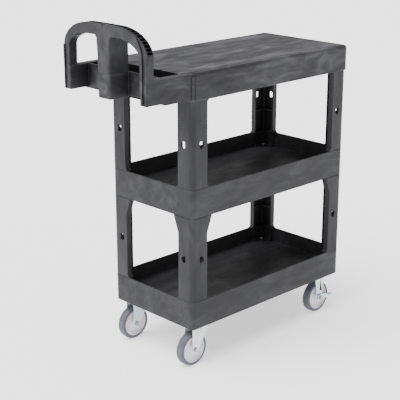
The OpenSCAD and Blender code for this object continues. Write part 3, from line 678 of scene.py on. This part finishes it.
def turned(outline, centre, steps=96):
    """A ring spun about the Y axis through centre from corners of (radius, y, round), all in millimetres."""
    bm = bmesh.new()
    corners = [bm.verts.new((radius * MM, y * MM, 0)) for radius, y, _ in outline]
    bm.faces.new(corners)
    for corner, (_, _, rounding) in zip(corners, outline):
        if rounding:
            bmesh.ops.bevel(bm, geom=[corner], offset=rounding * MM, offset_type="OFFSET", segments=4,
                            profile=0.5, affect="VERTICES", clamp_overlap=True, material=-1)
    bmesh.ops.delete(bm, geom=bm.faces[:], context="FACES_ONLY")
    bmesh.ops.spin(bm, geom=bm.edges[:], cent=(0, 0, 0), axis=(0, 1, 0), dvec=(0, 0, 0),
                   angle=2 * math.pi, steps=steps, use_merge=True)
    bmesh.ops.remove_doubles(bm, verts=bm.verts, dist=0.002 * MM)
    bmesh.ops.recalc_face_normals(bm, faces=bm.faces)
    bmesh.ops.translate(bm, vec=centre, verts=bm.verts)
    return bm


def both_sides(half):
    """A closed outline from the corners of its +Y half, from the bore outwards."""
    return half + [(radius, -y, rounding) for radius, y, rounding in reversed(half)]


# One side of a wheel's centre, from the bore out: bearing cover, boss, dished web, raised ring and rim
HUB_HALF = [(7.2, 17.6, 0), (11.2, 17.6, 0.5), (12.0, 19.0, 0.6), (14.2, 19.0, 1.4), (18.0, 11.4, 3.0),
            (24.0, 9.6, 3.0), (35.5, 9.8, 2.5), (38.5, 13.0, 1.6), (43.0, 13.6, 1.2), (44.2, 11.8, 0.6),
            (46.4, 11.8, 0.6), (47.4, 15.0, 0.8), (50.5, 15.2, 0)]
# One side of a tyre, from its seat out: a line moulded in the side, a full shoulder and a crowned tread
TYRE_HALF = [(50.5, 15.0, 0), (51.6, 16.0, 0.8), (54.4, 16.0, 0.3), (54.8, 15.4, 0.2), (55.4, 15.4, 0.2),
             (55.8, 16.0, 0.3), (62.6, 15.0, 4.2), (63.5, 5.0, 3.0)]


class CART_OT_wheels(Operator):
    """Wheel centres and tyres"""
    bl_idname = "cart.wheels"
    bl_label = "Wheels"

    def execute(self, context):
        for caster in CASTERS:
            for part, half, material, slot in (("hub", HUB_HALF, hub_plastic(), "hub_plastic"),
                                               ("tyre", TYRE_HALF, tyre_rubber(), "tyre_rubber")):
                node = f"{caster}_{part}"
                low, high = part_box(node)
                bm = turned(both_sides(half), (low + high) / 2)
                place(bm, f"moulded_{node}", material, body_of(node), slot, [node])
        return {"FINISHED"}


# ---------- stage ----------

WORLD = 1.0                                         # strength of the studio's walls
KEY = 6.5                                           # strength of the large overhead light
KEY_FROM = (-0.75, 0.15, 1.8)                       # the way towards it
KEY_SPREAD = math.radians(60)                       # how wide it looks from the cart
GLOW = 0.9                                          # strength of the floor's own light
FLOOR_HALF = 30.0                                   # half the floor's side, in metres
# The walls' brightness by height, from the horizon to overhead
WALLS = ((0.0, 1.4), (0.25, 1.0), (0.75, 0.15))
CAMERA_AT = (-2.715, -2.720, 1.773)
CAMERA_DOWN = 17.88                                 # how far the camera looks down, in degrees
CAMERA_ROUND = 45.78                                # how far it looks round from +X to +Y, in degrees
CAMERA_LENS = 95.83
SENSOR_W = 36.0


class CART_OT_stage(Operator):
    """A pale floor, soft studio light and the camera"""
    bl_idname = "cart.stage"
    bl_label = "Stage"

    def execute(self, context):
        bm = bmesh.new()
        bmesh.ops.create_grid(bm, x_segments=1, y_segments=1, size=FLOOR_HALF)
        mesh = bpy.data.meshes.new("floor")
        bm.to_mesh(mesh)
        bm.free()
        material, tree, shader = new_material("Studio floor, painted matte", Roughness=0.9,
                                              Base_Color=linear("f4f4f4"), Specular_IOR_Level=0.1,
                                              Emission_Color=(1, 1, 1, 1), Emission_Strength=GLOW)
        mesh.materials.append(material)
        floor = bpy.data.objects.new("floor", mesh)
        context.scene.collection.objects.link(floor)

        world = context.scene.world or bpy.data.worlds.new("studio")
        context.scene.world = world
        world.use_nodes = True
        tree = world.node_tree
        # a studio with bright walls and a dark ceiling
        direction = add(tree, "ShaderNodeTexCoord").outputs["Generated"]
        height = add(tree, "ShaderNodeSeparateXYZ", [("Vector", direction)]).outputs["Z"]
        walls = colour_ramp(tree, height, [(up, (grey, grey, grey, 1.0)) for up, grey in WALLS])
        background = tree.nodes["Background"]
        tree.links.new(walls, background.inputs["Color"])
        background.inputs["Strength"].default_value = WORLD

        key = bpy.data.lights.new("key", "SUN")
        key.energy = KEY
        key.angle = KEY_SPREAD
        lamp = bpy.data.objects.new("key", key)
        lamp.rotation_euler = Vector(KEY_FROM).to_track_quat("Z", "Y").to_euler()
        context.scene.collection.objects.link(lamp)

        camera_data = bpy.data.cameras.new("camera")
        camera_data.lens = CAMERA_LENS
        camera_data.sensor_width = SENSOR_W
        camera = bpy.data.objects.new("camera", camera_data)
        camera.location = CAMERA_AT
        camera.rotation_euler = (math.radians(90 - CAMERA_DOWN), 0.0, math.radians(CAMERA_ROUND - 90))
        context.scene.collection.objects.link(camera)
        context.scene.camera = camera
        return {"FINISHED"}


class CART_PT_panel(Panel):
    """Lists the steps that build the cart's looks"""
    bl_idname = "CART_PT_panel"
    bl_label = "Utility cart"
    bl_space_type = "VIEW_3D"
    bl_region_type = "UI"
    bl_category = "Cart"

    def draw(self, context):
        for group in (context.scene.cart_sizes, context.scene.cart_colours):
            box = self.layout.box()
            for name in group.bl_rna.properties.keys():
                if name not in ("rna_type", "name"):
                    box.prop(group, name)
        for step in STEPS:
            self.layout.operator(step.bl_idname)


STEPS = (CART_OT_stage, CART_OT_top, CART_OT_trays, CART_OT_legs, CART_OT_handles, CART_OT_fasteners,
         CART_OT_forks, CART_OT_brakes, CART_OT_wheels)
CLASSES = (CartSizes, CartColours, *STEPS, CART_PT_panel)


def register():
    for cls in CLASSES:
        bpy.utils.register_class(cls)
    bpy.types.Scene.cart_sizes = PointerProperty(type=CartSizes)
    bpy.types.Scene.cart_colours = PointerProperty(type=CartColours)


def unregister():
    del bpy.types.Scene.cart_colours
    del bpy.types.Scene.cart_sizes
    for cls in reversed(CLASSES):
        bpy.utils.unregister_class(cls)


def main():
    register()
    for step in STEPS:
        group, name = step.bl_idname.split(".")
        getattr(getattr(bpy.ops, group), name)()


if __name__ == "__main__":
    main()
